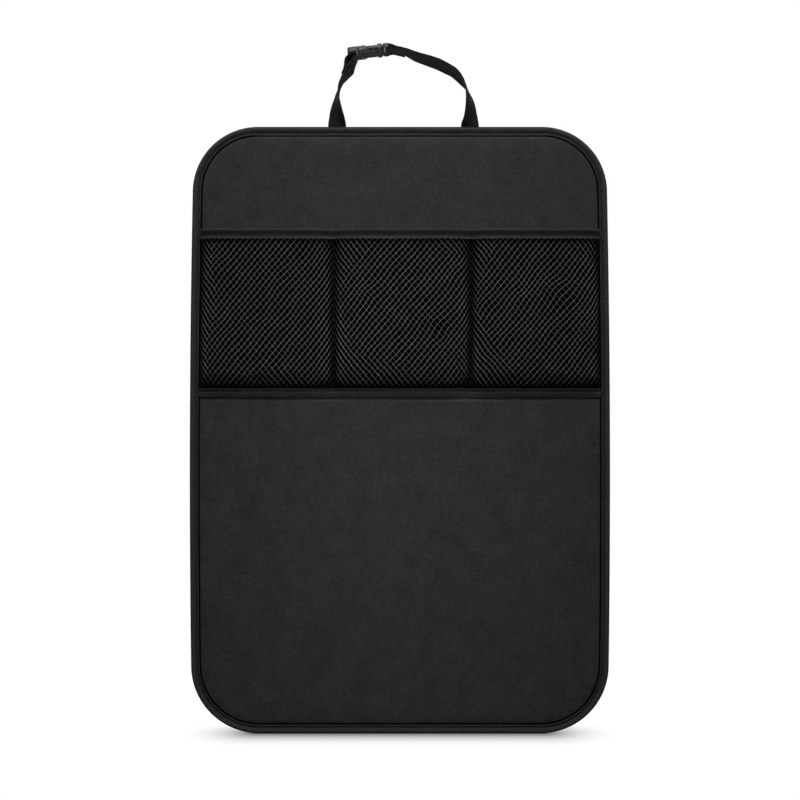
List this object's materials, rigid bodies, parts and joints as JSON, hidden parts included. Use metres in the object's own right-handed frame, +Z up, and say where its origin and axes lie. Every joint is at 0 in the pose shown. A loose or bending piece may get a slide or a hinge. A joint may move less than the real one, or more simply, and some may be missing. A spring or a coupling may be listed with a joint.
{
  "type": "car seat kick mat",
  "caption": "Padded cloth mat with net pockets that hangs on the back of a car seat by a buckled webbing strap and shields it from kicks.",
  "frame": {"origin": "the middle of the mat's flat back, where it lies against the seat", "axes": "+X to the right seen from the front, +Y into the seat back (the pockets face -Y), +Z up towards the strap"},
  "size_m": [0.47, 0.033, 0.77],
  "materials": {
    "face_cloth": "matte coated polyester weave",
    "back_cloth": "matte lining",
    "padding": "foam sheet",
    "binding": "woven binding tape",
    "net": "knitted polyester net",
    "webbing": "ribbed webbing",
    "buckle": "fine satin moulding"
  },
  "bodies": {
    "mat": {"back_cloth": "back_cloth", "foam_pad": "padding", "face_cloth": "face_cloth", "edge_binding": "binding", "pocket_net": "net", "pocket_hem": "binding", "pocket_tape": "binding", "strap_left": "webbing", "strap_right": "webbing", "buckle_socket": "buckle"},
    "plug": {"buckle_plug": "buckle"}
  },
  "joints": [
    {"name": "buckle_release", "type": "slide", "parent": "mat", "child": "plug", "axis": [0.9925, 0, 0.1219], "range_m": [0, 0.021], "deforming": ["strap_right", "buckle_plug"]}
  ]
}
